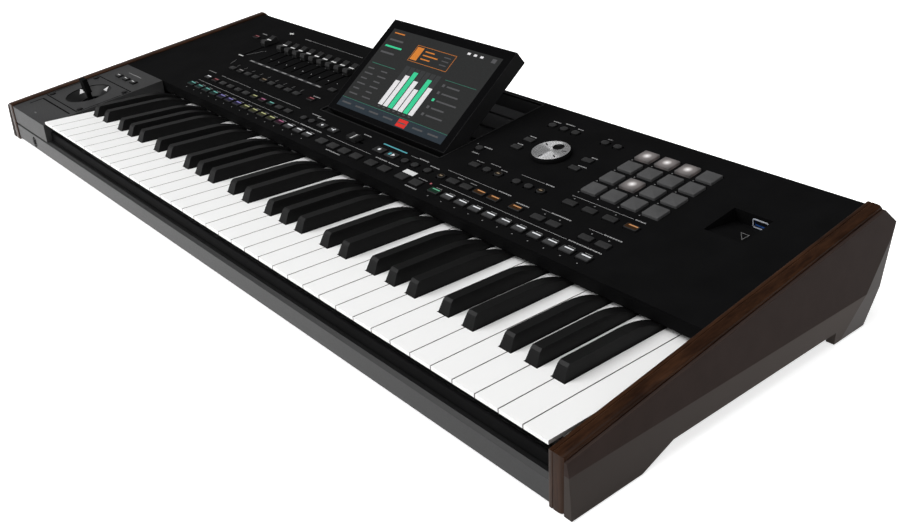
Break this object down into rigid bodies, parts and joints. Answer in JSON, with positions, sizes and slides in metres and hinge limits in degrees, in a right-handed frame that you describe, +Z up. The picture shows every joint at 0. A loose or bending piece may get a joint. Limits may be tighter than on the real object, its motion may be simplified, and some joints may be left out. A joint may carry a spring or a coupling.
{
  "type": "arranger keyboard",
  "caption": "Electronic arranger keyboard with piano keys, a sloping control panel of buttons, faders and pads, a tilting display, a joystick and wooden end cheeks.",
  "frame": {"origin": "on the floor under the middle of the case", "axes": "+X to the player's right, +Y to the back, +Z up"},
  "size_m": [1.0024, 0.376, 0.1592],
  "materials": {
    "wood": "satin lacquered brown wood",
    "side_finish": "satin dark brown-grey",
    "panel_finish": "satin black",
    "block_finish": "fine textured charcoal",
    "plate_finish": "fine textured charcoal",
    "rail_finish": "satin dark grey",
    "black_plastic": "satin black",
    "rear_finish": "satin black",
    "white_key": "gloss white",
    "black_key": "satin black",
    "felt": "dark red felt",
    "steel": "zinc plated",
    "circuit_board": "green solder mask",
    "rubber": "matte",
    "screen_glass": "dark glass over a lit panel",
    "button_plastic": "satin dark grey",
    "pad_rubber": "soft matte grey",
    "dial_metal": "spun silver top on a black skirt",
    "acetal": "natural acetal",
    "socket_plastic": "black",
    "screw_steel": "black"
  },
  "bodies": {
    "case": {"left_wood_trim": "wood", "right_wood_trim": "wood", "left_side_panel": "side_finish", "right_side_panel": "side_finish", "bottom_pan": "steel", "rubber_feet": "rubber", "front_rail": "rail_finish", "key_slip": "black_plastic", "controller_block": "block_finish", "top_panel": "panel_finish", "fallboard": "panel_finish", "rear_panel": "rear_finish", "rear_cap": "rear_finish", "keybed_frame": "steel", "key_pivot_rod": "steel", "key_stop_felts": "felt", "key_contact_domes": "rubber", "joystick_plate": "plate_finish", "joystick_bracket": "steel", "plate_screws": "screw_steel", "display_well": "black_plastic", "storage_bay": "black_plastic", "sockets": "socket_plastic", "circuit_boards": "circuit_board"},
    "display": {"display_housing": "black_plastic", "display_screen": "screen_glass"},
    "joystick_yoke": {"joystick_yoke": "acetal"},
    "joystick_lever": {"joystick_lever": "black_plastic"},
    "value_dial": {"value_dial": "dial_metal"},
    "power_rocker": {"power_rocker": "black_plastic"},
    "chord_pads": {"chord_pads": "pad_rubber"},
    "balance_slider": {"balance_slider": "button_plastic"},
    "style_buttons": {"style_buttons": "button_plastic"},
    "memory_buttons": {"memory_buttons": "button_plastic"},
    "keyboard_set_buttons": {"keyboard_set_buttons": "button_plastic"},
    "mixer_buttons": {"mixer_buttons": "button_plastic"},
    "panel_buttons": {"panel_buttons": "button_plastic"},
    "joystick_switches": {"joystick_switches": "button_plastic"},
    "master_fader": {"master_fader": "button_plastic"},
    "slot_fader_1": {"slot_fader_1": "button_plastic"},
    "slot_fader_2": {"slot_fader_2": "button_plastic"},
    "slot_fader_3": {"slot_fader_3": "button_plastic"},
    "slot_fader_4": {"slot_fader_4": "button_plastic"},
    "slot_fader_5": {"slot_fader_5": "button_plastic"},
    "slot_fader_6": {"slot_fader_6": "button_plastic"},
    "slot_fader_7": {"slot_fader_7": "button_plastic"},
    "slot_fader_8": {"slot_fader_8": "button_plastic"},
    "slot_fader_9": {"slot_fader_9": "button_plastic"},
    "white_keys_c": {"white_keys_c": "white_key"},
    "white_keys_d": {"white_keys_d": "white_key"},
    "white_keys_e": {"white_keys_e": "white_key"},
    "white_keys_f": {"white_keys_f": "white_key"},
    "white_keys_g": {"white_keys_g": "white_key"},
    "white_keys_a": {"white_keys_a": "white_key"},
    "white_keys_b": {"white_keys_b": "white_key"},
    "black_keys_c_sharp": {"black_keys_c_sharp": "black_key"},
    "black_keys_d_sharp": {"black_keys_d_sharp": "black_key"},
    "black_keys_f_sharp": {"black_keys_f_sharp": "black_key"},
    "black_keys_g_sharp": {"black_keys_g_sharp": "black_key"},
    "black_keys_a_sharp": {"black_keys_a_sharp": "black_key"}
  },
  "joints": [
    {"name": "display_tilt", "type": "hinge", "parent": "case", "child": "display", "pos_m": [0, 0.03985, 0.07249], "axis": [1, 0, 0], "range_deg": [-30, 15]},
    {"name": "joystick_sideways", "type": "hinge", "parent": "case", "child": "joystick_yoke", "pos_m": [-0.425, -0.10819, 0.03072], "axis": [0, 0.9883, 0.1522], "range_deg": [-15, 15], "stiffness_Nm_per_rad": 0.3},
    {"name": "joystick_lengthways", "type": "hinge", "parent": "joystick_yoke", "child": "joystick_lever", "pos_m": [-0.425, -0.10819, 0.03072], "axis": [1, 0, 0], "range_deg": [-15, 15], "stiffness_Nm_per_rad": 0.3},
    {"name": "dial_turn", "type": "hinge", "parent": "case", "child": "value_dial", "pos_m": [0.195, 0.08901, 0.08638], "axis": [0, -0.1522, 0.9883], "continuous": true},
    {"name": "power_switch", "type": "hinge", "parent": "case", "child": "power_rocker", "pos_m": [0.42, 0.16889, 0.05231], "axis": [1, 0, 0], "range_deg": [-14, 0]},
    {"name": "master_fader_slide", "type": "slide", "parent": "case", "child": "master_fader", "axis": [0, 0.9883, 0.1522], "range_m": [-0.037, 0.011]},
    {"name": "chord_pads_press", "type": "slide", "parent": "case", "child": "chord_pads", "axis": [0, 0.1522, -0.9883], "range_m": [0, 0.0006], "stiffness_N_per_m": 1500, "springref_m": -0.0015},
    {"name": "style_buttons_press", "type": "slide", "parent": "case", "child": "style_buttons", "axis": [0, 0.1522, -0.9883], "range_m": [0, 0.0008], "stiffness_N_per_m": 600, "springref_m": -0.002},
    {"name": "memory_buttons_press", "type": "slide", "parent": "case", "child": "memory_buttons", "axis": [0, 0.1522, -0.9883], "range_m": [0, 0.0008], "stiffness_N_per_m": 600, "springref_m": -0.002},
    {"name": "keyboard_set_buttons_press", "type": "slide", "parent": "case", "child": "keyboard_set_buttons", "axis": [0, 0.1522, -0.9883], "range_m": [0, 0.0008], "stiffness_N_per_m": 600, "springref_m": -0.002},
    {"name": "mixer_buttons_press", "type": "slide", "parent": "case", "child": "mixer_buttons", "axis": [0, 0.1522, -0.9883], "range_m": [0, 0.0008], "stiffness_N_per_m": 600, "springref_m": -0.002},
    {"name": "panel_buttons_press", "type": "slide", "parent": "case", "child": "panel_buttons", "axis": [0, 0.1522, -0.9883], "range_m": [0, 0.0008], "stiffness_N_per_m": 600, "springref_m": -0.002},
    {"name": "joystick_switches_press", "type": "slide", "parent": "case", "child": "joystick_switches", "axis": [0, 0.1522, -0.9883], "range_m": [0, 0.0008], "stiffness_N_per_m": 600, "springref_m": -0.002},
    {"name": "balance_slide", "type": "slide", "parent": "case", "child": "balance_slider", "axis": [1, 0, 0], "range_m": [-0.01, 0.01]},
    {"name": "slot_fader_1_slide", "type": "slide", "parent": "case", "child": "slot_fader_1", "axis": [0, 0.9883, 0.1522], "range_m": [-0.037, 0.011]},
    {"name": "slot_fader_2_slide", "type": "slide", "parent": "case", "child": "slot_fader_2", "axis": [0, 0.9883, 0.1522], "range_m": [-0.037, 0.011]},
    {"name": "slot_fader_3_slide", "type": "slide", "parent": "case", "child": "slot_fader_3", "axis": [0, 0.9883, 0.1522], "range_m": [-0.037, 0.011]},
    {"name": "slot_fader_4_slide", "type": "slide", "parent": "case", "child": "slot_fader_4", "axis": [0, 0.9883, 0.1522], "range_m": [-0.037, 0.011]},
    {"name": "slot_fader_5_slide", "type": "slide", "parent": "case", "child": "slot_fader_5", "axis": [0, 0.9883, 0.1522], "range_m": [-0.037, 0.011]},
    {"name": "slot_fader_6_slide", "type": "slide", "parent": "case", "child": "slot_fader_6", "axis": [0, 0.9883, 0.1522], "range_m": [-0.037, 0.011]},
    {"name": "slot_fader_7_slide", "type": "slide", "parent": "case", "child": "slot_fader_7", "axis": [0, 0.9883, 0.1522], "range_m": [-0.037, 0.011]},
    {"name": "slot_fader_8_slide", "type": "slide", "parent": "case", "child": "slot_fader_8", "axis": [0, 0.9883, 0.1522], "range_m": [-0.037, 0.011]},
    {"name": "slot_fader_9_slide", "type": "slide", "parent": "case", "child": "slot_fader_9", "axis": [0, 0.9883, 0.1522], "range_m": [-0.037, 0.011]},
    {"name": "white_keys_c_press", "type": "hinge", "parent": "case", "child": "white_keys_c", "pos_m": [0, 0.041, 0.037], "axis": [1, 0, 0], "range_deg": [0, 2.6], "stiffness_Nm_per_rad": 8, "springref_deg": -10.31},
    {"name": "white_keys_d_press", "type": "hinge", "parent": "case", "child": "white_keys_d", "pos_m": [0, 0.041, 0.037], "axis": [1, 0, 0], "range_deg": [0, 2.6], "stiffness_Nm_per_rad": 8, "springref_deg": -10.31},
    {"name": "white_keys_e_press", "type": "hinge", "parent": "case", "child": "white_keys_e", "pos_m": [0, 0.041, 0.037], "axis": [1, 0, 0], "range_deg": [0, 2.6], "stiffness_Nm_per_rad": 8, "springref_deg": -10.31},
    {"name": "white_keys_f_press", "type": "hinge", "parent": "case", "child": "white_keys_f", "pos_m": [0, 0.041, 0.037], "axis": [1, 0, 0], "range_deg": [0, 2.6], "stiffness_Nm_per_rad": 8, "springref_deg": -10.31},
    {"name": "white_keys_g_press", "type": "hinge", "parent": "case", "child": "white_keys_g", "pos_m": [0, 0.041, 0.037], "axis": [1, 0, 0], "range_deg": [0, 2.6], "stiffness_Nm_per_rad": 8, "springref_deg": -10.31},
    {"name": "white_keys_a_press", "type": "hinge", "parent": "case", "child": "white_keys_a", "pos_m": [0, 0.041, 0.037], "axis": [1, 0, 0], "range_deg": [0, 2.6], "stiffness_Nm_per_rad": 8, "springref_deg": -10.31},
    {"name": "white_keys_b_press", "type": "hinge", "parent": "case", "child": "white_keys_b", "pos_m": [0, 0.041, 0.037], "axis": [1, 0, 0], "range_deg": [0, 2.6], "stiffness_Nm_per_rad": 8, "springref_deg": -10.31},
    {"name": "black_keys_c_sharp_press", "type": "hinge", "parent": "case", "child": "black_keys_c_sharp", "pos_m": [0, 0.041, 0.037], "axis": [1, 0, 0], "range_deg": [0, 2.6], "stiffness_Nm_per_rad": 4, "springref_deg": -8.59},
    {"name": "black_keys_d_sharp_press", "type": "hinge", "parent": "case", "child": "black_keys_d_sharp", "pos_m": [0, 0.041, 0.037], "axis": [1, 0, 0], "range_deg": [0, 2.6], "stiffness_Nm_per_rad": 4, "springref_deg": -8.59},
    {"name": "black_keys_f_sharp_press", "type": "hinge", "parent": "case", "child": "black_keys_f_sharp", "pos_m": [0, 0.041, 0.037], "axis": [1, 0, 0], "range_deg": [0, 2.6], "stiffness_Nm_per_rad": 4, "springref_deg": -8.59},
    {"name": "black_keys_g_sharp_press", "type": "hinge", "parent": "case", "child": "black_keys_g_sharp", "pos_m": [0, 0.041, 0.037], "axis": [1, 0, 0], "range_deg": [0, 2.6], "stiffness_Nm_per_rad": 4, "springref_deg": -8.59},
    {"name": "black_keys_a_sharp_press", "type": "hinge", "parent": "case", "child": "black_keys_a_sharp", "pos_m": [0, 0.041, 0.037], "axis": [1, 0, 0], "range_deg": [0, 2.6], "stiffness_Nm_per_rad": 4, "springref_deg": -8.59}
  ]
}
